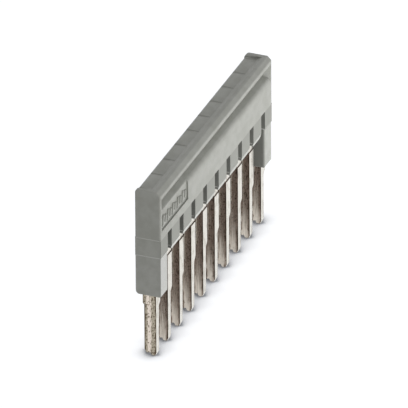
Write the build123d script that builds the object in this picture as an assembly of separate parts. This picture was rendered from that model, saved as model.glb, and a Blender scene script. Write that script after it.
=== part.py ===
from build123d import *

import os

# Plug-in jumper that joins ten neighbouring terminals of a rail-mounted row.
# Two identical stamped contact combs stand back to back, the rear one turned half a
# turn about the vertical, so each plug-in pin is a pair of leaves whose slim lower
# halves are staggered. One moulded housing is formed round the spines of the combs and
# the roots of their legs.
# Millimetres. X runs along the row, the front face looks along -Y and Z is up.
# X = 0 and Y = 0 are the middle of the part, Z = 0 is the plane of the pin tips.

# Row of pins
POLES = 10
PITCH = 3.5

# Contact combs, each stamped from one strip
SHEET = 0.8
LEAF_WIDTH = 1.25            # upper half of a leaf
LEAF_STEP = 0.42             # how far one edge of the leaf steps in lower down
LEAF_STEP_TOP_Z = 6.45
LEAF_STEP_BOTTOM_Z = 5.85
TIP_CORNER_RADIUS = 0.15
TIP_BEVEL_HEIGHT = 0.45      # lead-in coined on both faces of a tip
TIP_BEVEL_DEPTH = 0.2
ROLLED_EDGE = 0.1            # break of the edge that the punch rolls over, on the inner face
SPINE_BOTTOM_Z = 15.1
SPINE_TOP_Z = 17.6
ANCHOR_BOTTOM_Z = 10.7       # coined recess that keys each leg into the moulding
ANCHOR_TOP_Z = 13.6
ANCHOR_DEPTH = 0.1

# Housing
END_MARGIN = 0.95            # from an end face to the centre line of the first pin
HOUSING_THICKNESS = 3.0
HOUSING_TOP_Z = 20.5
FRONT_TOP_CHAMFER = 0.45
FRONT_TOP_RADIUS = 0.25      # where the chamfer meets the ridge and the lip
BACK_TOP_RADIUS = 0.45
END_EDGE_RADIUS = 0.2        # round the rim of each end face, down to the slots
SLOT_WIDTH = 1.15            # gap between two teeth, open right through
SLOT_TOP_Z = 14.6
TOOTH_BOTTOM_Z = 11.85
TOOTH_CORNER_RADIUS = 0.4
TOOTH_LEAD_HEIGHT = 0.6      # lead-in along the lower edges, front and back
TOOTH_LEAD_DEPTH = 0.15
STEP_AT_SLOTS = 0.08         # the end faces step in at two levels on the way down
STEP_AT_LEG = 0.06           # the legs step in on their front as well
STEP_HEIGHT = 0.16           # each step slopes, for the mould to open

# End legs, which reach further down than the teeth
LEG_TOP_Z = 12.4
LEG_BOTTOM_Z = 7.45
LEG_OUTER_RADIUS = 0.15
LEG_INNER_RADIUS = 0.15
LEG_FRONT_RADIUS = 0.25
LEG_BACK_RADIUS = 0.55
LEG_UPRIGHT_RADIUS = 0.3     # the upright edge between the front and the inner side

# Shelf behind the top ridge, with a cutting groove over every pin
END_WALL = 0.65
SHELF_Z = 20.28
SHELF_FRONT_Y = -0.15
SHELF_RAMP = 0.5             # how far the slope up to the ridge reaches
SHELF_CROWN = 0.06
GROOVE_WIDTH = 0.5
GROOVE_DEPTH_BACK = 0.28     # the grooves run out towards the ridge
GROOVE_DEPTH_FRONT = 0.08

# Finger recess under the lip of the front face, with a shoulder that rounds into it
LIP_BOTTOM_Z = 19.6
RECESS_DEPTH = 0.8
RECESS_INNER_Z = 18.3        # where the sloping floor meets the wall
SHOULDER_DEPTH = 0.3
SHOULDER_TOP_Z = 18.04
SHOULDER_BOTTOM_Z = 17.3
RECESS_END_WALL = 0.35
RECESS_END_RUN = 0.6         # each end of the recess slopes by this much along the row

# Sunk marking field, placed from the near end face, open upwards to the recess
MARK_DEPTH = 0.18
MARK_START = 0.45
MARK_END = 8.2
MARK_BOTTOM_Z = 15.6

LENGTH = (POLES - 1) * PITCH + 2 * END_MARGIN
HALF_LENGTH = LENGTH / 2
HALF_THICKNESS = HOUSING_THICKNESS / 2
TOOTH_WIDTH = PITCH - SLOT_WIDTH
END_BLOCK_WIDTH = END_MARGIN + TOOTH_WIDTH / 2
CLEAR = 1.0                  # how far a cutting solid reaches past what it cuts

PIN_X = [END_MARGIN - HALF_LENGTH + PITCH * pole for pole in range(POLES)]


def outline(points, radii=None):
    """A closed face through the points, each corner rounded by its own radius."""
    if radii is None:
        return make_face(Polyline(*points, close=True))
    return make_face(FilletPolyline(*points, radius=radii, close=True))


def along_x(face, x_low, x_high):
    """Extrude a face drawn in (Y, Z) between two values of X."""
    return extrude(Plane.YZ.offset(x_low) * face, x_high - x_low)


def along_y(face, y_low, y_high):
    """Extrude a face drawn in (X, Z) between two values of Y."""
    return extrude(Plane.XZ.offset(-y_high) * face, y_high - y_low)


def along_z(face, z_low, z_high):
    """Extrude a face drawn in (X, Y) between two values of Z."""
    return extrude(Plane.XY.offset(z_low) * face, z_high - z_low)


def rectangle(low, high):
    """The four corners of an upright rectangle, from its lower left to its lower right."""
    return [low, (low[0], high[1]), high, (high[0], low[1])]


# Contact combs


def leaf_front(top_z):
    """The stamped outline of one leaf in (X, Z), with the step in its +X edge."""
    half = LEAF_WIDTH / 2
    slim = half - LEAF_STEP
    step = Spline((half, LEAF_STEP_TOP_Z), (slim, LEAF_STEP_BOTTOM_Z), tangents=((0, -1), (0, -1)))
    tip = FilletPolyline(
        (slim, LEAF_STEP_BOTTOM_Z), (slim, 0), (-half, 0), (-half, top_z),
        radius=[TIP_CORNER_RADIUS, TIP_CORNER_RADIUS],
    )
    top = Polyline((-half, top_z), (half, top_z), (half, LEAF_STEP_TOP_Z))
    return make_face(step.edges() + tip.edges() + top.edges())


def leaf_side(top_z):
    """The section of one leaf in (Y, Z), bevelled on both faces of its tip."""
    return outline([
        (-SHEET, top_z), (-SHEET, TIP_BEVEL_HEIGHT), (TIP_BEVEL_DEPTH - SHEET, 0),
        (-TIP_BEVEL_DEPTH, 0), (0, TIP_BEVEL_HEIGHT), (0, top_z),
    ])


def free_leaf(top_z):
    """The stretch of a leaf that stands clear of the housing."""
    leaf = along_y(leaf_front(top_z), -SHEET, 0)
    inner_face = leaf.faces().filter_by(Axis.Y).sort_by(Axis.Y)[-1]
    stamped_edges = inner_face.edges().sort_by(Axis.Z)[:-1]
    leaf = chamfer(stamped_edges, ROLLED_EDGE)
    return leaf & along_x(leaf_side(top_z), -LEAF_WIDTH, LEAF_WIDTH)


def contact_comb():
    """One stamping: a spine with a leg under each pole, the front leaf of every pin."""
    spine_half = HALF_LENGTH - END_MARGIN + LEAF_WIDTH / 2
    strip = outline(rectangle((-spine_half, SPINE_BOTTOM_Z), (spine_half, SPINE_TOP_Z)))
    end_leaf, inner_leaf = free_leaf(LEG_BOTTOM_Z), free_leaf(TOOTH_BOTTOM_Z)
    leaves = []
    for pole, x in enumerate(PIN_X):
        is_end = pole in (0, POLES - 1)
        root_z = LEG_BOTTOM_Z if is_end else TOOTH_BOTTOM_Z
        strip += outline(rectangle((x - LEAF_WIDTH / 2, root_z), (x + LEAF_WIDTH / 2, SPINE_TOP_Z)))
        leaves.append(Pos(X=x) * (end_leaf if is_end else inner_leaf))
    comb = along_y(strip, -SHEET, 0) + leaves
    return comb - anchor_recess(spine_half)


def anchor_recess(half_length):
    """The coined recess across the outer faces of the legs, with a sloping lower end."""
    floor_y = ANCHOR_DEPTH - SHEET
    return along_x(outline([
        (floor_y, ANCHOR_BOTTOM_Z + ANCHOR_DEPTH), (-SHEET, ANCHOR_BOTTOM_Z),
        (-SHEET - CLEAR, ANCHOR_BOTTOM_Z), (-SHEET - CLEAR, ANCHOR_TOP_Z), (floor_y, ANCHOR_TOP_Z),
    ]), -half_length, half_length)


# Housing


def upper_body():
    """The housing above the slots, with a soft rim round both end faces."""
    section = outline([
        (-HALF_THICKNESS, SLOT_TOP_Z), (-HALF_THICKNESS, HOUSING_TOP_Z - FRONT_TOP_CHAMFER),
        (FRONT_TOP_CHAMFER - HALF_THICKNESS, HOUSING_TOP_Z), (HALF_THICKNESS, HOUSING_TOP_Z),
        (HALF_THICKNESS, SLOT_TOP_Z),
    ], [0, FRONT_TOP_RADIUS, FRONT_TOP_RADIUS, BACK_TOP_RADIUS, 0])
    body = along_x(section, -HALF_LENGTH, HALF_LENGTH)
    rims = []
    for end_face in body.faces().filter_by(Axis.X):
        rims += end_face.edges().sort_by(Axis.Z)[1:]
    return fillet(rims, END_EDGE_RADIUS)


def tooth():
    """One tooth between two slots, centred on X = 0, with a lead-in front and back."""
    half = TOOTH_WIDTH / 2
    front = outline(
        rectangle((-half, TOOTH_BOTTOM_Z), (half, SLOT_TOP_Z)),
        [TOOTH_CORNER_RADIUS, 0, 0, TOOTH_CORNER_RADIUS],
    )
    foot = HALF_THICKNESS - TOOTH_LEAD_DEPTH
    lead_z = TOOTH_BOTTOM_Z + TOOTH_LEAD_HEIGHT
    side = outline([
        (-HALF_THICKNESS, SLOT_TOP_Z), (-HALF_THICKNESS, lead_z), (-foot, TOOTH_BOTTOM_Z),
        (foot, TOOTH_BOTTOM_Z), (HALF_THICKNESS, lead_z), (HALF_THICKNESS, SLOT_TOP_Z),
    ])
    return along_y(front, -HALF_THICKNESS, HALF_THICKNESS) & along_x(side, -half, half)


def end_block():
    """The tooth and leg at the -X end, stepped in at two levels."""
    inner_x = END_BLOCK_WIDTH - HALF_LENGTH
    root_x = STEP_AT_SLOTS - HALF_LENGTH
    leg_x = root_x + STEP_AT_LEG
    root = along_y(outline([
        (root_x, LEG_TOP_Z), (root_x, SLOT_TOP_Z - STEP_HEIGHT), (-HALF_LENGTH, SLOT_TOP_Z),
        (inner_x, SLOT_TOP_Z), (inner_x, LEG_TOP_Z),
    ]), -HALF_THICKNESS, HALF_THICKNESS)
    front = outline([
        (leg_x, LEG_BOTTOM_Z), (leg_x, LEG_TOP_Z - STEP_HEIGHT), (root_x, LEG_TOP_Z),
        (inner_x, LEG_TOP_Z), (inner_x, LEG_BOTTOM_Z),
    ], [LEG_OUTER_RADIUS, 0, 0, 0, LEG_INNER_RADIUS])
    leg_y = STEP_AT_LEG - HALF_THICKNESS
    side = outline([
        (leg_y, LEG_BOTTOM_Z), (leg_y, LEG_TOP_Z - STEP_HEIGHT), (-HALF_THICKNESS, LEG_TOP_Z),
        (HALF_THICKNESS, LEG_TOP_Z), (HALF_THICKNESS, LEG_BOTTOM_Z),
    ], [LEG_FRONT_RADIUS, 0, 0, 0, LEG_BACK_RADIUS])
    plan = outline(
        rectangle((root_x, -HALF_THICKNESS), (inner_x, HALF_THICKNESS)),
        [0, 0, 0, LEG_UPRIGHT_RADIUS],
    )
    leg = along_y(front, -HALF_THICKNESS, HALF_THICKNESS)
    leg &= along_x(side, root_x, inner_x)
    leg &= along_z(plan, LEG_BOTTOM_Z, LEG_TOP_Z)
    return root + leg


def shelf_cut():
    """What is taken off behind the ridge, between the walls at the two ends."""
    x_end = HALF_LENGTH - END_WALL
    above, behind = HOUSING_TOP_Z + CLEAR, HALF_THICKNESS + CLEAR
    round_start = (HALF_THICKNESS - BACK_TOP_RADIUS, SHELF_Z)
    round_end = (HALF_THICKNESS, SHELF_Z - BACK_TOP_RADIUS)
    back_edge = RadiusArc(round_start, round_end, BACK_TOP_RADIUS)
    ridge_y = SHELF_FRONT_Y - SHELF_RAMP
    rest = Polyline(round_end, (behind, round_end[1]), (behind, above), (ridge_y, above),
                    (ridge_y, HOUSING_TOP_Z), (SHELF_FRONT_Y, SHELF_Z), round_start)
    return along_x(make_face(back_edge.edges() + rest.edges()), -x_end, x_end)


def crown_cut():
    """What leaves the shelf slightly crowned between two grooves."""
    x_end = HALF_LENGTH - END_WALL
    above = HOUSING_TOP_Z + CLEAR
    edge_z = SHELF_Z - SHELF_CROWN
    first, last = PIN_X[0] - GROOVE_WIDTH / 2, PIN_X[-1] + GROOVE_WIDTH / 2
    lines = Polyline((first, edge_z), (-x_end, edge_z), (-x_end, above), (x_end, above),
                     (x_end, edge_z), (last, edge_z)).edges()
    for x in PIN_X:
        lines += Line((x - GROOVE_WIDTH / 2, edge_z), (x + GROOVE_WIDTH / 2, edge_z)).edges()
    for x in PIN_X[:-1]:
        start, end = x + GROOVE_WIDTH / 2, x + PITCH - GROOVE_WIDTH / 2
        lines += ThreePointArc((start, edge_z), ((start + end) / 2, SHELF_Z), (end, edge_z)).edges()
    return along_y(make_face(lines), SHELF_FRONT_Y, HALF_THICKNESS + CLEAR)


def groove_cut():
    """One cutting groove across the shelf at X = 0, deepest at the back edge."""
    edge_z = SHELF_Z - SHELF_CROWN
    fall = (GROOVE_DEPTH_BACK - GROOVE_DEPTH_FRONT) / (HALF_THICKNESS - SHELF_FRONT_Y)
    flare = GROOVE_WIDTH / 2 / GROOVE_DEPTH_BACK
    bottom_z = edge_z - GROOVE_DEPTH_FRONT
    wedge = outline([(0, bottom_z), (flare * CLEAR, bottom_z + CLEAR), (-flare * CLEAR, bottom_z + CLEAR)])
    reach = HALF_THICKNESS + CLEAR - SHELF_FRONT_Y
    run = Vector(0, reach, -reach * fall)
    return extrude(Plane.XZ.offset(-SHELF_FRONT_Y) * wedge, run.length, dir=run)


def recess_cut():
    """The finger recess under the lip, whose floor rounds over a shoulder into the front face."""
    x_end = HALF_LENGTH - RECESS_END_WALL
    wall_y, shoulder_y = RECESS_DEPTH - HALF_THICKNESS, SHOULDER_DEPTH - HALF_THICKNESS
    outside = -HALF_THICKNESS - CLEAR
    floor_run = (wall_y - shoulder_y, RECESS_INNER_Z - SHOULDER_TOP_Z)
    shoulder = Spline((-HALF_THICKNESS, SHOULDER_BOTTOM_Z), (shoulder_y, SHOULDER_TOP_Z),
                      tangents=((0, 1), floor_run))
    rest = Polyline((shoulder_y, SHOULDER_TOP_Z), (wall_y, RECESS_INNER_Z), (wall_y, LIP_BOTTOM_Z),
                    (outside, LIP_BOTTOM_Z), (outside, SHOULDER_BOTTOM_Z),
                    (-HALF_THICKNESS, SHOULDER_BOTTOM_Z))
    plan = outline([
        (-x_end, outside), (-x_end, -HALF_THICKNESS), (RECESS_END_RUN - x_end, wall_y),
        (x_end - RECESS_END_RUN, wall_y), (x_end, -HALF_THICKNESS), (x_end, outside),
    ])
    trough = along_x(make_face(shoulder.edges() + rest.edges()), -x_end, x_end)
    return trough & along_z(plan, SHOULDER_BOTTOM_Z, LIP_BOTTOM_Z)


def marking_field_cut():
    """The sunk marking field, with a ledge under it and beside it."""
    left, right = MARK_START - HALF_LENGTH, MARK_END - HALF_LENGTH
    field = outline(rectangle((left, MARK_BOTTOM_Z), (right, SHOULDER_TOP_Z)))
    return along_y(field, -HALF_THICKNESS - CLEAR, MARK_DEPTH - HALF_THICKNESS)


def housing_round(combs):
    """The moulding, closed round the spines and roots of the combs."""
    near_block = end_block()
    blocks = [near_block, mirror(near_block, about=Plane.YZ)]
    blocks += [Pos(X=x) * tooth() for x in PIN_X[1:-1]]
    body = upper_body() + blocks
    groove = groove_cut()
    cuts = [shelf_cut(), crown_cut(), recess_cut(), marking_field_cut()]
    cuts += [Pos(X=x) * groove for x in PIN_X]
    return body - [*cuts, *combs]


front_contact_comb = contact_comb()
rear_contact_comb = Rot(Z=180) * front_contact_comb
housing = housing_round([front_contact_comb, rear_contact_comb])

os.makedirs("parts", exist_ok=True)
export_step(housing, "parts/housing.step")
export_step(front_contact_comb, "parts/front_contact_comb.step")
export_step(rear_contact_comb, "parts/rear_contact_comb.step")
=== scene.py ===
"""A ten-pole plug-in jumper for rail terminals, dressed and lit for its catalogue view.

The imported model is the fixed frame. The moulded housing keeps its solid and gets its finish here. Each
contact comb is made again as the stamping that it is, with a rolled and a sheared edge, by repeating
one leg along the row. A row of plain ticks stands in the marking field.

Lengths are metres in the part's own frame: X runs along the row of pins, the front face looks along -Y
and Z is up from the pin tips.
"""

from __future__ import annotations

import logging
import math
from dataclasses import dataclass
from enum import Enum

import bmesh
import bpy
from mathutils import Matrix, Vector

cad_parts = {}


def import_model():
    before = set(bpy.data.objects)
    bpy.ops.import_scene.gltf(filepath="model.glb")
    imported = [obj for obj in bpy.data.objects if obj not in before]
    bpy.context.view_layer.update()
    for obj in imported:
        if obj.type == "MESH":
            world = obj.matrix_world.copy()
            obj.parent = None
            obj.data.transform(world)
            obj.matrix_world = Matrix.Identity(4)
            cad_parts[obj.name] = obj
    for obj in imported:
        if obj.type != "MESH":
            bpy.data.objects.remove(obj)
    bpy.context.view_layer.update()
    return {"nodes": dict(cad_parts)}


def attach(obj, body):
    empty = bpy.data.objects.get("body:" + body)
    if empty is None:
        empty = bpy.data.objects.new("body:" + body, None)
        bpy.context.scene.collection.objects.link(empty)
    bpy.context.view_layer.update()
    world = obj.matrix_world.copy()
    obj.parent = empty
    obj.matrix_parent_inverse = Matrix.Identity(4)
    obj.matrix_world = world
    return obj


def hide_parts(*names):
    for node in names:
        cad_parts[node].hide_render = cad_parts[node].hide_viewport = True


LOG = logging.getLogger("jumper")

Colour = tuple[float, float, float, float]
Triple = tuple[float, float, float]
Span = tuple[float, float]

MM = 0.001
QUARTER_TURN = math.pi / 2

# The curve from sRGB values to linear ones.
SRGB_KNEE = 0.04045
SRGB_SLOPE = 12.92
SRGB_OFFSET = 0.055
SRGB_POWER = 2.4

# Settings of the nodes that are used most.
ABSOLUTE = {"operation": "ABSOLUTE"}
ADD = {"operation": "ADD"}
SUBTRACT = {"operation": "SUBTRACT"}
MULTIPLY = {"operation": "MULTIPLY"}
MAXIMUM = {"operation": "MAXIMUM"}
SMOOTH = {"interpolation_type": "SMOOTHSTEP"}
COLOURS = {"data_type": "RGBA"}

# What a ramp goes from and to.
RISING = (0.0, 1.0)
FALLING = (1.0, 0.0)

# The values of a noise pattern: nearly all of them, most of them, and their mean.
NOISE_WHOLE = (0.25, 0.75)
NOISE_MOST = (0.3, 0.7)
NOISE_MEAN = 0.5
NOISE_DETAIL = 3.0


def linear(hex_colour: str) -> Colour:
    """Turns an sRGB colour into the linear values that Blender's sockets hold.

    Args:
        hex_colour: Six hex digits after a hash sign, such as "#9A9B94".

    Returns:
        Red, green, blue and an alpha of 1.
    """
    values = []
    for start in (1, 3, 5):
        channel = int(hex_colour[start:start + 2], 16) / 255
        curved = ((channel + SRGB_OFFSET) / (1 + SRGB_OFFSET)) ** SRGB_POWER
        values.append(channel / SRGB_SLOPE if channel <= SRGB_KNEE else curved)
    return (*values, 1.0)


class TreeMaker:
    """A shader or Geometry Nodes tree under construction."""

    def __init__(self, tree: bpy.types.NodeTree) -> None:
        """Empties the tree that gets the nodes."""
        self.tree = tree
        self.tree.nodes.clear()

    def add(
        self,
        kind: str,
        settings: dict[str, object] | None = None,
        inputs: dict[str, object] | tuple[object, ...] = (),
    ) -> bpy.types.Node:
        """Adds a node, with its settings, its values and the links that lead into it.

        An input gets a value, an output or a whole node, which stands for its first output.

        Args:
            kind: The node's Blender type.
            settings: Properties of the node by name.
            inputs: What the inputs get, by name or in the order of those that the settings leave in use.

        Returns:
            The new node.
        """
        node = self.tree.nodes.new(kind)
        for name, value in (settings or {}).items():
            setattr(node, name, value)
        if isinstance(inputs, dict):
            pairs = [(node.inputs[name], value) for name, value in inputs.items()]
        else:
            pairs = list(zip([socket for socket in node.inputs if socket.enabled], inputs))
        for socket, value in pairs:
            if isinstance(value, bpy.types.Node):
                value = next(output for output in value.outputs if output.enabled)
            if isinstance(value, bpy.types.NodeSocket):
                self.tree.links.new(value, socket)
            else:
                socket.default_value = value
        return node


class Finish(TreeMaker):
    """A material under construction: its tree and its coordinates."""

    def __init__(self, name: str) -> None:
        """Starts an empty material.

        Args:
            name: The material's name.
        """
        self.material = bpy.data.materials.new(name)
        self.material.use_nodes = True
        super().__init__(self.material.node_tree)
        self.coordinates = self.add("ShaderNodeTexCoord").outputs

    def pattern(self, width: float, stretch: Triple = (1.0, 1.0, 1.0)) -> bpy.types.Node:
        """Adds a soft random pattern of a real size.

        Args:
            width: The width of one feature.
            stretch: How many times longer the features are along X, Y and Z.

        Returns:
            The noise, with values in NOISE_WHOLE.
        """
        scale = tuple(1 / times for times in stretch)
        placed = self.add("ShaderNodeMapping", inputs={"Vector": self.coordinates["Object"], "Scale": scale})
        inputs = {"Vector": placed, "Scale": 1 / width, "Detail": NOISE_DETAIL}
        return self.add("ShaderNodeTexNoise", inputs=inputs)

    def complete(self, inputs: dict[str, object]) -> bpy.types.Material:
        """Adds the shader, which completes the material.

        Args:
            inputs: What the inputs of the Principled shader get, by name.

        Returns:
            The material.
        """
        shader = self.add("ShaderNodeBsdfPrincipled", inputs=inputs)
        self.add("ShaderNodeOutputMaterial", inputs={"Surface": shader})
        return self.material


@dataclass(frozen=True)
class MouldZones:
    """Zones of the housing's surface, each a node that gives 1 there and 0 elsewhere."""

    teeth: bpy.types.Node       # the broad faces of the teeth
    legs: bpy.types.Node        # the end legs
    step_highlight: bpy.types.Node       # the lines across the ends, where two inserts meet, painted pale as a highlight on the small steps there
    polished: bpy.types.Node    # the broad faces of the leg next to the marking field
    shaded_flanks: bpy.types.Node      # the sides of the slots and the inner sides of the legs, painted darker as shade


@dataclass(frozen=True)
class MouldedPolyamide:
    """Polyamide 66, injection moulded in a spark-eroded tool.

    The eye gets an even grey with a silky sheen, a grain that is just too fine to count and faint clouds
    where the melt flowed. The tool has three inserts: the one for the grip leaves the silky surface, the
    one for the teeth was eroded more coarsely, and the ones for the end legs were stoned smoother. The
    broad faces of the teeth are a darker grey. On the ends a pale line is painted where the inserts meet,
    a painted highlight on the small steps there. The sides of the slots and the inner sides of the legs
    are a darker grey, painted shade where the pins and the legs close them in.
    """

    body: str = "#9D9E98"
    cloud: str = "#93948D"
    tooth: str = "#898A84"
    # the grey of the painted shade in the slots and on the legs' inner sides
    flank_shade: str = "#747570"
    # the pale colour of the painted highlight on the steps where the inserts meet
    step_highlight: str = "#B4B5B0"
    ior: float = 1.53
    grip_roughness: Span = (0.42, 0.5)
    tooth_roughness: float = 0.62
    leg_roughness: float = 0.06
    polish_roughness: float = 0.08
    cloud_width: float = 1.1 * MM
    cloud_stretch: Triple = (1.2, 1.0, 1.0)
    grain_width: float = 0.16 * MM      # the real one is about 0.03 mm, too fine to show, so this is coarser
    grain_depth: float = 0.0055 * MM
    tooth_top: float = 14.6 * MM
    leg_top: float = 12.4 * MM
    parting: float = 0.08 * MM          # the height of the band in which one insert gives way to the next
    step_highlight_width: float = 0.07 * MM
    tooth_face: Span = (1.44 * MM, 1.47 * MM)       # off the middle plane, as the next two
    leg_face: Span = (1.38 * MM, 1.41 * MM)
    end_face: Span = (1.34 * MM, 1.37 * MM)
    polished_from: Span = (-14.0 * MM, 0.0)         # along the row
    flanks_within: Span = (14.6 * MM, 14.66 * MM)   # off the middle of the row
    flank_facing: Span = (0.7, 0.95)                # how squarely a flank faces along the row

    def zones(self, finish: Finish) -> MouldZones:
        """Marks what the inserts and the blades of the tool shape.

        Args:
            finish: The material under construction.

        Returns:
            The zones.
        """
        add = finish.add
        place = add("ShaderNodeSeparateXYZ", inputs=(finish.coordinates["Object"],)).outputs
        below, lines = [], []
        for level in (self.tooth_top, self.leg_top):
            ramp = (place["Z"], level - self.parting, level, *FALLING)
            below.append(add("ShaderNodeMapRange", SMOOTH, ramp))
            off = add("ShaderNodeMath", SUBTRACT, (place["Z"], level - self.parting / 2))
            off = add("ShaderNodeMath", ABSOLUTE, (off,))
            ramp = (off, self.step_highlight_width / 2, self.step_highlight_width, *FALLING)
            lines.append(add("ShaderNodeMapRange", SMOOTH, ramp))
        below_grip, below_teeth = below
        depth = add("ShaderNodeMath", ABSOLUTE, (place["Y"],))

        teeth = add("ShaderNodeMapRange", SMOOTH, (depth, *self.tooth_face))
        teeth = add("ShaderNodeMath", MULTIPLY, (teeth, below_grip))

        # The pale lines across the ends are a painted highlight on the steps where the inserts meet.
        step_highlight = add("ShaderNodeMapRange", SMOOTH, (depth, *self.end_face, *FALLING))
        step_highlight = add("ShaderNodeMath", MULTIPLY, (step_highlight, add("ShaderNodeMath", MAXIMUM, tuple(lines))))

        near = add("ShaderNodeMapRange", SMOOTH, (place["X"], *self.polished_from, *FALLING))
        polished = add("ShaderNodeMapRange", SMOOTH, (depth, *self.leg_face))
        for zone in (near, below_teeth):
            polished = add("ShaderNodeMath", MULTIPLY, (polished, zone))

        # The sides of the slots and the inner sides of the legs, which the pins and the legs close in, get
        # painted shade.
        off_middle = add("ShaderNodeMath", ABSOLUTE, (place["X"],))
        within = add("ShaderNodeMapRange", SMOOTH, (off_middle, *self.flanks_within, *FALLING))
        normal = add("ShaderNodeSeparateXYZ", inputs=(finish.coordinates["Normal"],))
        shaded_flanks = add("ShaderNodeMath", ABSOLUTE, (normal.outputs["X"],))
        shaded_flanks = add("ShaderNodeMapRange", SMOOTH, (shaded_flanks, *self.flank_facing))
        for zone in (within, below_grip):
            shaded_flanks = add("ShaderNodeMath", MULTIPLY, (shaded_flanks, zone))
        return MouldZones(teeth, below_teeth, step_highlight, polished, shaded_flanks)

    def make(self) -> bpy.types.Material:
        """Makes the material.

        Returns:
            The finish of the housing and of the ticks on it.
        """
        finish = Finish("moulded_grey_polyamide")
        add = finish.add
        zones = self.zones(finish)
        clouds = finish.pattern(self.cloud_width, self.cloud_stretch)
        clouds = add("ShaderNodeMapRange", SMOOTH, (clouds, *NOISE_MOST))
        grip = add("ShaderNodeMix", COLOURS, (clouds, linear(self.body), linear(self.cloud)))
        colour = add("ShaderNodeMix", COLOURS, (zones.teeth, grip, linear(self.tooth)))
        colour = add("ShaderNodeMix", COLOURS, (zones.legs, colour, grip))
        # painted shade on the sides of the slots and the inner sides of the legs
        colour = add("ShaderNodeMix", COLOURS, (zones.shaded_flanks, colour, linear(self.flank_shade)))
        # the painted highlight on the steps across the ends
        colour = add("ShaderNodeMix", COLOURS, (zones.step_highlight, colour, linear(self.step_highlight)))
        grain = finish.pattern(self.grain_width)
        rough = add("ShaderNodeMapRange", SMOOTH, (grain, *NOISE_MOST, *self.grip_roughness))
        rough = add("ShaderNodeMix", inputs=(zones.teeth, rough, self.tooth_roughness))
        rough = add("ShaderNodeMix", inputs=(zones.legs, rough, self.leg_roughness))
        height = add("ShaderNodeMix", inputs=(zones.legs, grain, NOISE_MEAN))
        return finish.complete({
            "Base Color": colour,
            "IOR": self.ior,
            "Roughness": rough,
            "Coat Weight": zones.polished,
            "Coat Roughness": self.polish_roughness,
            "Normal": add("ShaderNodeBump", inputs={"Height": height, "Distance": self.grain_depth}),
        })


@dataclass(frozen=True)
class TinPlate:
    """Matt tin, plated on rolled copper strip before stamping.

    The eye gets a soft silvery white with faint upright lines, from the rolls and from being plugged in,
    and small duller spots.
    """

    bright: str = "#E8E5DD"
    dull: str = "#C9C4B9"
    roughness: Span = (0.22, 0.36)
    line_width: float = 0.09 * MM
    line_stretch: Triple = (1.0, 1.0, 30.0)
    line_depth: float = 0.0015 * MM
    spot_width: float = 0.45 * MM
    spot_stretch: Triple = (1.0, 1.0, 2.5)
    spot_range: Span = (0.5, 0.68)      # the values of the pattern between which a spot begins

    def make(self) -> bpy.types.Material:
        """Makes the material.

        Returns:
            The finish of the combs' plated faces.
        """
        finish = Finish("tin_plated_copper")
        add = finish.add
        lines = finish.pattern(self.line_width, self.line_stretch)
        spots = finish.pattern(self.spot_width, self.spot_stretch)
        spots = add("ShaderNodeMapRange", SMOOTH, (spots, *self.spot_range))
        return finish.complete({
            "Base Color": add("ShaderNodeMix", COLOURS, (spots, linear(self.bright), linear(self.dull))),
            "Metallic": 1.0,
            "Roughness": add("ShaderNodeMapRange", SMOOTH, (lines, *NOISE_MOST, *self.roughness)),
            "Normal": add("ShaderNodeBump", inputs={"Height": lines, "Distance": self.line_depth}),
        })


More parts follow.
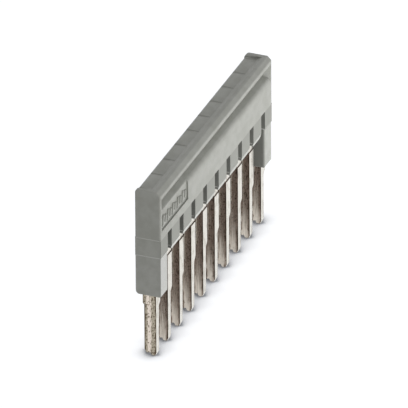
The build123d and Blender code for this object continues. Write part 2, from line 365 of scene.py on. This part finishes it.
@dataclass(frozen=True)
class ShearedCopper:
    """An edge that the punch sheared through the plated strip.

    A zone of it is burnished by the punch, with tin smeared over it in upright streaks; where this is
    brightest near the pin tips and fades upward is also painted reflection of the white table below,
    with painted shade higher up. The rest broke and is rough, dull and brown, with small dark pits. A
    narrow strip along the outer face is the darkest.
    """

    name: str
    burnished: str
    broken: str
    pit: str
    burnished_roughness: float
    broken_roughness: float
    zone: Span                      # from Y to Y; the seam between the leaves lies at 0
    reflection_fade: Span                      # the heights over which the burnish fades: painted reflection of the table near the tips, painted shade above
    torn: Span                      # the values of the pits' pattern between which the burnish is torn
    wiped: Span = (0.78, 1.2)       # the wider it is, the stronger the streaks
    least: float = 0.36             # what is left of the burnish above where it fades, under the painted shade
    front_border: float = 0.1 * MM
    rear_border: float = 0.1 * MM
    outer_strip_from: Span = (0.645 * MM, 0.695 * MM)      # off the seam; where the darkest strip along the outer face begins
    streak_width: float = 0.11 * MM
    streak_stretch: Triple = (1.0, 1.0, 16.0)
    waver: float = 0.1 * MM         # how far the borders stray
    waver_width: float = 0.5 * MM
    waver_stretch: Triple = (1.0, 1.0, 2.0)
    pit_width: float = 0.15 * MM
    pit_stretch: Triple = (1.0, 1.0, 1.6)
    pit_range: Span = (0.5, 0.64)   # the values of the pattern between which a pit begins
    pit_depth: float = 0.012 * MM

    def zones(self, finish: Finish) -> tuple[bpy.types.Node, bpy.types.Node]:
        """Marks the zones across the edge, with wavering borders.

        Args:
            finish: The material under construction.

        Returns:
            A node that gives 1 where the edge is burnished, which near the tips is also painted reflection,
            and one that gives 1 on a dark strip along the outer face.
        """
        add = finish.add
        place = add("ShaderNodeSeparateXYZ", inputs=(finish.coordinates["Object"],)).outputs
        stray = finish.pattern(self.waver_width, self.waver_stretch)
        stray = add("ShaderNodeMapRange", SMOOTH, (stray, *NOISE_WHOLE, -self.waver, self.waver))
        depth = add("ShaderNodeMath", ADD, (place["Y"], stray))
        height = add("ShaderNodeMapRange", SMOOTH, (place["Z"], *self.reflection_fade, 1.0, self.least))
        streaks = finish.pattern(self.streak_width, self.streak_stretch)
        burnish = add("ShaderNodeMath", ADD, (height, streaks))
        burnish = add("ShaderNodeMapRange", SMOOTH, (burnish, *self.wiped))
        for limit, border, ends in zip(self.zone, (self.front_border, self.rear_border), (RISING, FALLING)):
            ramp = (depth, limit - border / 2, limit + border / 2, *ends)
            burnish = add("ShaderNodeMath", MULTIPLY, (burnish, add("ShaderNodeMapRange", SMOOTH, ramp)))
        outward = add("ShaderNodeMath", ABSOLUTE, (depth,))
        return burnish, add("ShaderNodeMapRange", SMOOTH, (outward, *self.outer_strip_from))

    def make(self) -> bpy.types.Material:
        """Makes the material.

        Returns:
            The finish of one kind of sheared edge, with the painted reflection and shade that its settings
            give it.
        """
        finish = Finish(self.name)
        add = finish.add
        burnish, outer_strip = self.zones(finish)
        pits = finish.pattern(self.pit_width, self.pit_stretch)
        whole = add("ShaderNodeMapRange", SMOOTH, (pits, *self.torn, *FALLING))
        burnish = add("ShaderNodeMath", MULTIPLY, (burnish, whole))
        dark = add("ShaderNodeMapRange", SMOOTH, (pits, *self.pit_range))
        # the darkest strip along the outer face gets the pit colour
        dark = add("ShaderNodeMath", MAXIMUM, (dark, outer_strip))
        colour = add("ShaderNodeMix", COLOURS, (dark, linear(self.broken), linear(self.pit)))
        rough = (self.broken_roughness, self.burnished_roughness)
        return finish.complete({
            "Base Color": add("ShaderNodeMix", COLOURS, (burnish, colour, linear(self.burnished))),
            "Metallic": 1.0,
            "Roughness": add("ShaderNodeMapRange", SMOOTH, (burnish, *RISING, *rough)),
            "Normal": add("ShaderNodeBump", inputs={"Height": pits, "Distance": self.pit_depth}),
        })


@dataclass(frozen=True)
class CombFinishes:
    """The three finishes of a contact comb: the plating, and a shaded and a lit copy of one sheared edge."""

    tin: bpy.types.Material
    # slot_edge is the sheared edge with painted shade between the legs, end_edge the same edge with painted
    # light at the ends
    slot_edge: bpy.types.Material
    end_edge: bpy.types.Material


@dataclass(frozen=True)
class TreeInput:
    """One named input of a Geometry Nodes tree, with the value that it gets."""

    name: str
    kind: str
    value: object


class GeometryTree(TreeMaker):
    """A Geometry Nodes tree that makes one plain mesh."""

    def __init__(self, name: str, inputs: list[TreeInput]) -> None:
        """Starts the tree with its named inputs.

        Args:
            name: The tree's name.
            inputs: Its inputs and their values.
        """
        super().__init__(bpy.data.node_groups.new(name, "GeometryNodeTree"))
        self.tree.interface.new_socket("Geometry", in_out="OUTPUT", socket_type="NodeSocketGeometry")
        self.values = {}
        for entry in inputs:
            socket = self.tree.interface.new_socket(entry.name, in_out="INPUT", socket_type=entry.kind)
            self.values[socket.identifier] = entry.value
        self.inputs = self.add("NodeGroupInput").outputs

    def finish(self, geometry: bpy.types.Node, name: str) -> bpy.types.Object:
        """Ends the tree, runs it and keeps the result as a plain mesh object.

        Args:
            geometry: The node that gives the finished geometry.
            name: The new object's name.

        Returns:
            The object, with no modifier.
        """
        self.add("NodeGroupOutput", inputs=(geometry,))
        holder = link_mesh(name + "_maker", bpy.data.meshes.new(name + "_maker"))
        modifier = holder.modifiers.new(self.tree.name, "NODES")
        modifier.node_group = self.tree
        for identifier, value in self.values.items():
            modifier[identifier] = value
        graph = bpy.context.evaluated_depsgraph_get()
        mesh = bpy.data.meshes.new_from_object(holder.evaluated_get(graph), depsgraph=graph)
        mesh.name = name
        bpy.data.objects.remove(holder)
        return link_mesh(name, mesh)


def link_mesh(name: str, mesh: bpy.types.Mesh) -> bpy.types.Object:
    """Puts a mesh in the scene as an object at the origin.

    Args:
        name: The object's name.
        mesh: Its mesh.

    Returns:
        The object.
    """
    piece = bpy.data.objects.new(name, mesh)
    bpy.context.scene.collection.objects.link(piece)
    return piece


def link_shape(name: str, shape: bmesh.types.BMesh) -> bpy.types.Object:
    """Turns a drawn shape into a mesh object at the origin, and frees the shape.

    Args:
        name: The name of the mesh and of the object.
        shape: What was drawn.

    Returns:
        The object.
    """
    mesh = bpy.data.meshes.new(name)
    shape.to_mesh(mesh)
    shape.free()
    return link_mesh(name, mesh)


class Side(Enum):
    """Which of the two combs a stamping is, with its half turn about the vertical."""

    FRONT = 0.0
    REAR = math.pi


@dataclass(frozen=True)
class LegSection:
    """A level cut through a leg: its height, its two sheared edges and its two faces."""

    height: float
    left: float
    right: float
    outer: float
    inner: float


@dataclass
class ContactComb:
    """One of the two identical stampings: a spine with a leg under each pole.

    The leg is drawn once, as the front comb has it, and repeated along the row.
    """

    side: Side
    poles: int = 10
    pitch: float = 3.5 * MM
    sheet: float = 0.8 * MM
    width: float = 1.25 * MM
    step: float = 0.42 * MM
    step_bottom: float = 5.85 * MM
    step_top: float = 6.45 * MM
    tip_corner: float = 0.15 * MM
    tip_bevel_height: float = 0.45 * MM
    tip_bevel_depth: float = 0.2 * MM
    rolled_radius: float = 0.12 * MM
    burr_radius: float = 0.08 * MM
    anchor_bottom: float = 10.7 * MM
    anchor_top: float = 13.6 * MM
    anchor_depth: float = 0.1 * MM
    anchor_shoulder: float = 0.01 * MM  # the height of the shoulder at its top
    spine_bottom: float = 15.1 * MM
    spine_top: float = 17.6 * MM
    corner_points: int = 5
    arc_points: int = 5
    step_points: int = 10
    sheared_limit: float = 0.8          # faces whose normal has less than this along Y were sheared
    smooth_angle: float = math.radians(35)

    def edges_at(self, height: float) -> Span:
        """Gives the two sheared edges of the leg, seen from the front.

        Args:
            height: Where the leg is cut.

        Returns:
            The X of the left edge and of the right one, with the step and the tip's rounded corners.
        """
        half = self.width / 2
        rise = (height - self.step_bottom) / (self.step_top - self.step_bottom)
        rise = min(max(rise, 0.0), 1.0)
        eased = rise * rise * (3 - 2 * rise)
        below = max(self.tip_corner - height, 0.0)
        corner = self.tip_corner - math.sqrt(self.tip_corner ** 2 - below ** 2)
        return corner - half, half - self.step * (1 - eased) - corner

    def section(self, height: float) -> LegSection:
        """Gives the cut through the leg, with the tip's bevels and the coined anchor.

        Args:
            height: Where the leg is cut.

        Returns:
            The cut.
        """
        left, right = self.edges_at(height)
        bevel = self.tip_bevel_depth * max(1 - height / self.tip_bevel_height, 0.0)
        into_anchor = min(max((height - self.anchor_bottom) / self.anchor_depth, 0.0), 1.0)
        coined = self.anchor_depth * into_anchor if height <= self.anchor_top else 0.0
        return LegSection(height, left, right, bevel + coined - self.sheet, -bevel)

    def heights(self) -> list[float]:
        """Lists the heights at which the leg's outline turns.

        Returns:
            The heights, from the tip upwards.
        """
        turns = [QUARTER_TURN * i / (self.corner_points - 1) for i in range(self.corner_points)]
        corner = [self.tip_corner * (1 - math.cos(turn)) for turn in turns]
        rise = (self.step_top - self.step_bottom) / self.step_points
        step = [self.step_bottom + rise * i for i in range(self.step_points + 1)]
        anchor = [self.anchor_bottom, self.anchor_bottom + self.anchor_depth, self.anchor_top]
        past_anchor = self.anchor_top + self.anchor_shoulder
        return [*corner, self.tip_bevel_height, *step, *anchor, past_anchor, self.spine_bottom]

    def ring(self, cut: LegSection) -> list[Vector]:
        """Lists the points round a cut, with its four rounded corners.

        Args:
            cut: The cut.

        Returns:
            The points, seen from above and counter-clockwise.
        """
        points = []
        # X and Y of a corner, its radius, and the quarter of a circle that rounds it
        corners = (
            (cut.left, cut.outer, self.burr_radius, 2),
            (cut.right, cut.outer, self.burr_radius, 3),
            (cut.right, cut.inner, self.rolled_radius, 0),
            (cut.left, cut.inner, self.rolled_radius, 1),
        )
        for x, y, radius, quarter in corners:
            centre_x = x + radius if x == cut.left else x - radius
            centre_y = y + radius if y == cut.outer else y - radius
            for i in range(self.arc_points):
                angle = QUARTER_TURN * (quarter + i / (self.arc_points - 1))
                across = centre_x + radius * math.cos(angle)
                deep = centre_y + radius * math.sin(angle)
                points.append(Vector((across, deep, cut.height)))
        return points

    def leg(self) -> bpy.types.Object:
        """Makes one leg, with its faces marked where the punch sheared them.

        Returns:
            The leg, upright at the origin.
        """
        shape = bmesh.new()
        rings = [[shape.verts.new(p) for p in self.ring(self.section(z))] for z in self.heights()]
        for low, high in zip(rings, rings[1:]):
            for i in range(len(low)):
                j = (i + 1) % len(low)
                shape.faces.new((low[i], low[j], high[j], high[i]))
        shape.faces.new(reversed(rings[0]))
        shape.faces.new(rings[-1])
        leg = link_shape("leg", shape)
        mesh = leg.data
        mesh.polygons.foreach_set("use_smooth", [True] * len(mesh.polygons))
        mesh.set_sharp_from_angle(angle=self.smooth_angle)
        sheared = mesh.attributes.new("sheared", "BOOLEAN", "FACE")
        for polygon in mesh.polygons:
            on_ledge = self.anchor_bottom < polygon.center.z < self.anchor_bottom + self.anchor_depth
            sheared.data[polygon.index].value = on_ledge or abs(polygon.normal.y) < self.sheared_limit
        return leg

    def tree_inputs(self, leg: bpy.types.Object, finishes: CombFinishes) -> list[TreeInput]:
        """Lists what the comb's tree is given.

        Args:
            leg: The leg that the tree repeats.
            finishes: What the plated faces and the sheared edges look like.

        Returns:
            The inputs with their values.
        """
        row = self.pitch * (self.poles - 1)
        spine_height = self.spine_top - self.spine_bottom
        spine_centre = (0.0, -self.sheet / 2, self.spine_bottom + spine_height / 2)
        return [
            TreeInput("Leg", "NodeSocketObject", leg),
            TreeInput("Poles", "NodeSocketInt", self.poles),
            TreeInput("Pitch", "NodeSocketVector", (self.pitch, 0.0, 0.0)),
            TreeInput("First leg", "NodeSocketVector", (-row / 2, 0.0, 0.0)),
            TreeInput("Spine size", "NodeSocketVector", (row + self.width, self.sheet, spine_height)),
            TreeInput("Spine centre", "NodeSocketVector", spine_centre),
            TreeInput("Turn", "NodeSocketVector", (0.0, 0.0, self.side.value)),
            TreeInput("Ends from", "NodeSocketFloat", row / 2),
            TreeInput("Tin", "NodeSocketMaterial", finishes.tin),
            TreeInput("Edge between legs", "NodeSocketMaterial", finishes.slot_edge),
            TreeInput("Edge at the ends", "NodeSocketMaterial", finishes.end_edge),
        ]

    def stamping(self, maker: GeometryTree) -> bpy.types.Node:
        """Repeats the leg along the row, adds the spine and turns both to the comb's side.

        Args:
            maker: The comb's tree under construction.

        Returns:
            The bare comb.
        """
        given = maker.inputs
        one = maker.add("GeometryNodeObjectInfo", inputs={"Object": given["Leg"]})
        places = maker.add("GeometryNodeMeshLine", {"mode": "OFFSET"}, {
            "Count": given["Poles"], "Start Location": given["First leg"], "Offset": given["Pitch"],
        })
        legs = maker.add("GeometryNodeInstanceOnPoints", inputs={
            "Points": places, "Instance": one.outputs["Geometry"],
        })
        block = maker.add("GeometryNodeMeshCube", inputs={"Size": given["Spine size"]})
        spine = maker.add("GeometryNodeTransform", inputs={
            "Geometry": block, "Translation": given["Spine centre"],
        })
        joined = maker.add("GeometryNodeJoinGeometry", inputs=(legs,))
        maker.tree.links.new(spine.outputs["Geometry"], joined.inputs["Geometry"])
        turned = maker.add("GeometryNodeTransform", inputs={"Geometry": joined, "Rotation": given["Turn"]})
        return maker.add("GeometryNodeRealizeInstances", inputs=(turned,))

    def dress(self, maker: GeometryTree, bare: bpy.types.Node) -> bpy.types.Node:
        """Plates the comb and gives its sheared edges their finishes.

        Args:
            maker: The comb's tree under construction.
            bare: The bare comb.

        Returns:
            The dressed comb.
        """
        given = maker.inputs
        plated = maker.add("GeometryNodeSetMaterial", inputs={"Geometry": bare, "Material": given["Tin"]})
        sheared = maker.add("GeometryNodeInputNamedAttribute", {"data_type": "BOOLEAN"}, ("sheared",))
        cut = maker.add("GeometryNodeSetMaterial", inputs={
            "Geometry": plated, "Selection": sheared, "Material": given["Edge between legs"],
        })
        place = maker.add("ShaderNodeSeparateXYZ", inputs=(maker.add("GeometryNodeInputPosition"),))
        off_middle = maker.add("ShaderNodeMath", ABSOLUTE, (place.outputs["X"],))
        at_end = maker.add("ShaderNodeMath", {"operation": "GREATER_THAN"}, (off_middle, given["Ends from"]))
        both = maker.add("FunctionNodeBooleanMath", {"operation": "AND"}, (sheared, at_end))
        return maker.add("GeometryNodeSetMaterial", inputs={
            "Geometry": cut, "Selection": both, "Material": given["Edge at the ends"],
        })

    def build(self, finishes: CombFinishes) -> bpy.types.Object:
        """Makes the comb.

        Args:
            finishes: What the plated faces and the sheared edges look like.

        Returns:
            The comb, in place of its solid.
        """
        leg = self.leg()
        maker = GeometryTree("comb_of_legs", self.tree_inputs(leg, finishes))
        dressed = self.dress(maker, self.stamping(maker))
        node = f"{self.side.name.lower()}_contact_comb"
        comb = maker.finish(dressed, f"stamped_{self.side.name.lower()}_comb")
        bpy.data.objects.remove(leg)
        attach(comb, "root")
        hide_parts(node)
        return comb


@dataclass
class MarkingTicks:
    """Ten plain raised ticks, one for each pole, on the floor of the sunk marking field."""

    count: int = 10
    first_x: float = -15.6 * MM
    spacing: float = 0.72 * MM
    middle_z: float = 16.6 * MM
    floor_y: float = -1.32 * MM
    long_tick: float = 1.3 * MM
    short_share: float = 0.66
    short_every: float = 2.0
    width: float = 0.36 * MM
    proud: float = 0.17 * MM
    rooted: float = 0.05 * MM
    lean: float = math.radians(12)
    soft_share: float = 0.6         # how much of their height is rounded off
    soft_segments: int = 3
    soft_profile: float = 0.5       # a quarter circle

    def tick(self) -> bpy.types.Object:
        """Makes one tick with soft front edges.

        Returns:
            The tick, upright at the origin.
        """
        shape = bmesh.new()
        bmesh.ops.create_cube(shape, size=1.0)
        bmesh.ops.scale(shape, vec=(self.width, self.proud + self.rooted, self.long_tick), verts=shape.verts)
        bmesh.ops.translate(shape, vec=(0, (self.rooted - self.proud) / 2, 0), verts=shape.verts)
        front = [e for e in shape.edges if all(v.co.y < 0 for v in e.verts)]
        bmesh.ops.bevel(
            shape, geom=front, offset=self.proud * self.soft_share, segments=self.soft_segments,
            profile=self.soft_profile, affect="EDGES",
        )
        return link_shape("tick", shape)

    def build(self, plastic: bpy.types.Material) -> bpy.types.Object:
        """Repeats the tick along the field, every other one short.

        Args:
            plastic: The finish of the housing, which the ticks are moulded with.

        Returns:
            The row of ticks.
        """
        one_tick = self.tick()
        maker = GeometryTree("row_of_ticks", [
            TreeInput("Tick", "NodeSocketObject", one_tick),
            TreeInput("Count", "NodeSocketInt", self.count),
            TreeInput("First", "NodeSocketVector", (self.first_x, self.floor_y, self.middle_z)),
            TreeInput("Spacing", "NodeSocketVector", (self.spacing, 0.0, 0.0)),
            TreeInput("Short every", "NodeSocketFloat", self.short_every),
            TreeInput("Short share", "NodeSocketFloat", self.short_share),
            TreeInput("Lean", "NodeSocketVector", (0.0, self.lean, 0.0)),
            TreeInput("Plastic", "NodeSocketMaterial", plastic),
        ])
        given = maker.inputs
        one = maker.add("GeometryNodeObjectInfo", inputs={"Object": given["Tick"]})
        places = maker.add("GeometryNodeMeshLine", {"mode": "OFFSET"}, {
            "Count": given["Count"], "Start Location": given["First"], "Offset": given["Spacing"],
        })
        index = maker.add("GeometryNodeInputIndex")
        odd = maker.add("ShaderNodeMath", {"operation": "MODULO"}, (index, given["Short every"]))
        height = maker.add("ShaderNodeMapRange", inputs=(odd, *RISING, 1.0, given["Short share"]))
        scale = maker.add("ShaderNodeCombineXYZ", inputs=(1.0, 1.0, height))
        ticks = maker.add("GeometryNodeInstanceOnPoints", inputs={
            "Points": places, "Instance": one.outputs["Geometry"],
            "Rotation": given["Lean"], "Scale": scale,
        })
        real = maker.add("GeometryNodeRealizeInstances", inputs=(ticks,))
        dressed = maker.add("GeometryNodeSetMaterial", inputs={
            "Geometry": real, "Material": given["Plastic"],
        })
        row = maker.finish(dressed, "marking_ticks")
        bpy.data.objects.remove(one_tick)
        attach(row, "root")
        return row


@dataclass
class Housing:
    """The moulded housing, which keeps its solid."""

    solid: bpy.types.Object

    def dress(self, plastic: bpy.types.Material) -> None:
        """Gives the solid its finish."""
        for place in self.solid.material_slots:
            place.material = plastic


@dataclass
class Studio:
    """A white table with a glow in front of the part, under an even sky and beside a soft box."""

    sky_colour: str = "#FFFFFF"
    sky: float = 0.475                  # what the sky gives a surface
    table_colour: str = "#F2F2F2"
    shown_colour: str = "#B6BAC2"
    table_lift: float = 0.8             # what brings the lit table to white in view
    table_size: float = 3.0
    contact_reach: float = 3.0 * MM     # how far from the pin tips the table shows their shadow
    contact_range: Span = (0.52, 0.97)
    contact_samples: int = 16
    box_size: Span = (0.5, 0.12)
    box_place: Triple = (-0.2, -0.6, 0.13)
    box_target: Triple = (0.0, 0.0, 0.012)
    box_power: float = 1.25
    glow_size: Span = (0.108, 0.06)
    glow_place: Triple = (0.0365, -0.0325, 0.0003)
    glow_power: float = 0.036

    def in_gloss(self, maker: TreeMaker) -> bpy.types.Node:
        """Gives 1 to rays that show the background in a reflection or through glass."""
        path = maker.add("ShaderNodeLightPath").outputs
        return maker.add("ShaderNodeMath", MAXIMUM, (path["Is Glossy Ray"], path["Is Transmission Ray"]))

    def in_view(self, maker: TreeMaker) -> bpy.types.Node:
        """Gives 1 to rays that show the background, straight to the camera or by way of a gloss."""
        camera = maker.add("ShaderNodeLightPath").outputs["Is Camera Ray"]
        return maker.add("ShaderNodeMath", MAXIMUM, (camera, self.in_gloss(maker)))

    def build_sky(self) -> None:
        """Makes the world: white in view, and an even grey light on the object."""
        world = bpy.data.worlds.new("even_sky")
        world.use_nodes = True
        maker = TreeMaker(world.node_tree)
        strength = maker.add("ShaderNodeMapRange", inputs=(self.in_view(maker), *RISING, self.sky, 1.0))
        sky = maker.add("ShaderNodeBackground", inputs=(linear(self.sky_colour), strength))
        maker.add("ShaderNodeOutputWorld", inputs={"Surface": sky})
        bpy.context.scene.world = world

    def shown_table(self, maker: TreeMaker) -> bpy.types.Node:
        """Adds the table as it is seen: white, with the soft shadow at the pin tips.

        Args:
            maker: The table's tree under construction.

        Returns:
            The shader.
        """
        samples = {"samples": self.contact_samples}
        free = maker.add("ShaderNodeAmbientOcclusion", samples, {"Distance": self.contact_reach})
        ramp = (free.outputs["AO"], *self.contact_range, 0.0, self.table_lift)
        strength = maker.add("ShaderNodeMapRange", SMOOTH, ramp)
        lift = maker.add("ShaderNodeEmission", inputs={"Strength": strength})
        lit = maker.add("ShaderNodeBsdfDiffuse", inputs={"Color": linear(self.shown_colour)})
        seen = maker.add("ShaderNodeAddShader", inputs=(lit, lift))
        white = maker.add("ShaderNodeEmission")
        return maker.add("ShaderNodeMixShader", inputs=(self.in_gloss(maker), seen, white))

    def build_table(self) -> None:
        """Makes the white table under the pin tips. It keeps the soft shadows."""
        half = self.table_size / 2
        corners = [(-half, -half, 0), (half, -half, 0), (half, half, 0), (-half, half, 0)]
        mesh = bpy.data.meshes.new("table")
        mesh.from_pydata(corners, [], [(0, 1, 2, 3)])
        material = bpy.data.materials.new("white_table")
        material.use_nodes = True
        maker = TreeMaker(material.node_tree)
        plain = maker.add("ShaderNodeBsdfDiffuse", inputs={"Color": linear(self.table_colour)})
        shown = self.shown_table(maker)
        mixed = maker.add("ShaderNodeMixShader", inputs=(self.in_view(maker), plain, shown))
        maker.add("ShaderNodeOutputMaterial", inputs={"Surface": mixed})
        mesh.materials.append(material)
        link_mesh("table", mesh)

    def build_lamp(self, name: str, size: Span, place: Triple, power: float, aim: Vector) -> None:
        """Adds a soft rectangular lamp, which lights but doesn't show.

        Args:
            name: What it is called.
            size: Its width and height.
            place: Its middle.
            power: Its power in watts.
            aim: The direction of its light.
        """
        lamp = bpy.data.lights.new(name, "AREA")
        lamp.shape = "RECTANGLE"
        lamp.size, lamp.size_y = size
        lamp.energy = power
        holder = bpy.data.objects.new(name, lamp)
        holder.location = place
        holder.rotation_euler = aim.to_track_quat("-Z", "Y").to_euler()
        holder.visible_camera = False
        holder.visible_glossy = False
        bpy.context.scene.collection.objects.link(holder)

    def build(self) -> None:
        """Makes the whole studio but the camera, and sets the plain view transform."""
        self.build_sky()
        self.build_table()
        toward_part = Vector(self.box_target) - Vector(self.box_place)
        upward = Vector((0.0, 0.0, 1.0))
        self.build_lamp("front_soft_box", self.box_size, self.box_place, self.box_power, toward_part)
        self.build_lamp("table_glow", self.glow_size, self.glow_place, self.glow_power, upward)
        bpy.context.scene.view_settings.view_transform = "Standard"


@dataclass(frozen=True)
class CatalogueCamera:
    """The camera, with the viewing angle and the framing of the photograph."""

    subject: Triple = (0.15 * MM, 0.0, 11.0 * MM)
    heading: float = math.radians(68.464)      # of the line of sight, from +Y towards +X
    elevation: float = math.radians(29.066)
    roll: float = math.radians(0.351)
    distance: float = 1594.5 * MM
    pixels_per_metre: float = 9158.0           # at the subject's distance
    frame_pixels: int = 408
    subject_at: Span = (204.63, 197.57)        # the pixel that shows the subject
    sensor: float = 36.0
    clip_at: float = 4.0                       # times the distance

    def build(self) -> None:
        """Makes the camera and points it so that the subject falls on its place in the frame."""
        level = math.cos(self.elevation)
        sight = Vector((
            math.sin(self.heading) * level, math.cos(self.heading) * level, -math.sin(self.elevation),
        ))
        turn = sight.to_track_quat("-Z", "Y").to_matrix() @ Matrix.Rotation(-self.roll, 3, "Z")
        middle = self.frame_pixels / 2
        right = (self.subject_at[0] - middle) / self.pixels_per_metre
        down = (self.subject_at[1] - middle) / self.pixels_per_metre
        aim = Vector(self.subject) - turn.col[0] * right + turn.col[1] * down
        data = bpy.data.cameras.new("catalogue_camera")
        data.sensor_width = self.sensor
        data.lens = self.sensor * self.pixels_per_metre * self.distance / self.frame_pixels
        data.clip_end = self.distance * self.clip_at
        camera = bpy.data.objects.new("catalogue_camera", data)
        camera.matrix_world = Matrix.Translation(aim - sight * self.distance) @ turn.to_4x4()
        bpy.context.scene.collection.objects.link(camera)
        bpy.context.scene.camera = camera


def make_comb_finishes() -> CombFinishes:
    """Makes the plating and two copies of the sheared edge: one with painted shade between the legs, one
    with painted light at the ends.

    Returns:
        The three finishes of the combs.
    """
    # The same sheared copper between the legs, painted darker as shade from the neighbouring legs, its
    # burnish fading upward from a painted reflection of the table at the tips.
    between_legs = ShearedCopper(
        name="copper_sheared_between_the_legs",
        burnished="#CFC8BD",
        broken="#7D6E63",
        pit="#4C4036",
        burnished_roughness=0.3,
        broken_roughness=0.55,
        zone=(-0.54 * MM, 0.36 * MM),
        reflection_fade=(0.0, 6.6 * MM),
        torn=(0.68, 0.72),
        wiped=(0.76, 1.8),
        front_border=0.4 * MM,
    )
    # The same sheared copper at the ends, painted lighter where no neighbouring leg shades it, with no fade.
    at_the_ends = ShearedCopper(
        name="copper_sheared_at_the_ends",
        burnished="#DED3C8",
        broken="#ABA393",
        pit="#574B3C",
        burnished_roughness=0.25,
        broken_roughness=0.42,
        zone=(-0.17 * MM, 0.36 * MM),
        reflection_fade=(20.0 * MM, 21.0 * MM),
        torn=(0.58, 0.64),
    )
    return CombFinishes(TinPlate().make(), between_legs.make(), at_the_ends.make())


def main() -> None:
    """Builds the part, piece by piece, and the studio round it."""
    logging.basicConfig(level=logging.INFO, format="%(name)s: %(message)s")
    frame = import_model()
    plastic = MouldedPolyamide().make()
    finishes = make_comb_finishes()
    Housing(frame["nodes"]["housing"]).dress(plastic)
    LOG.info("housing dressed")
    for side in Side:
        comb = ContactComb(side).build(finishes)
        LOG.info("%s made, %d faces", comb.name, len(comb.data.polygons))
    ticks = MarkingTicks().build(plastic)
    LOG.info("%s made, %d faces", ticks.name, len(ticks.data.polygons))
    Studio().build()
    CatalogueCamera().build()


if __name__ == "__main__":
    main()
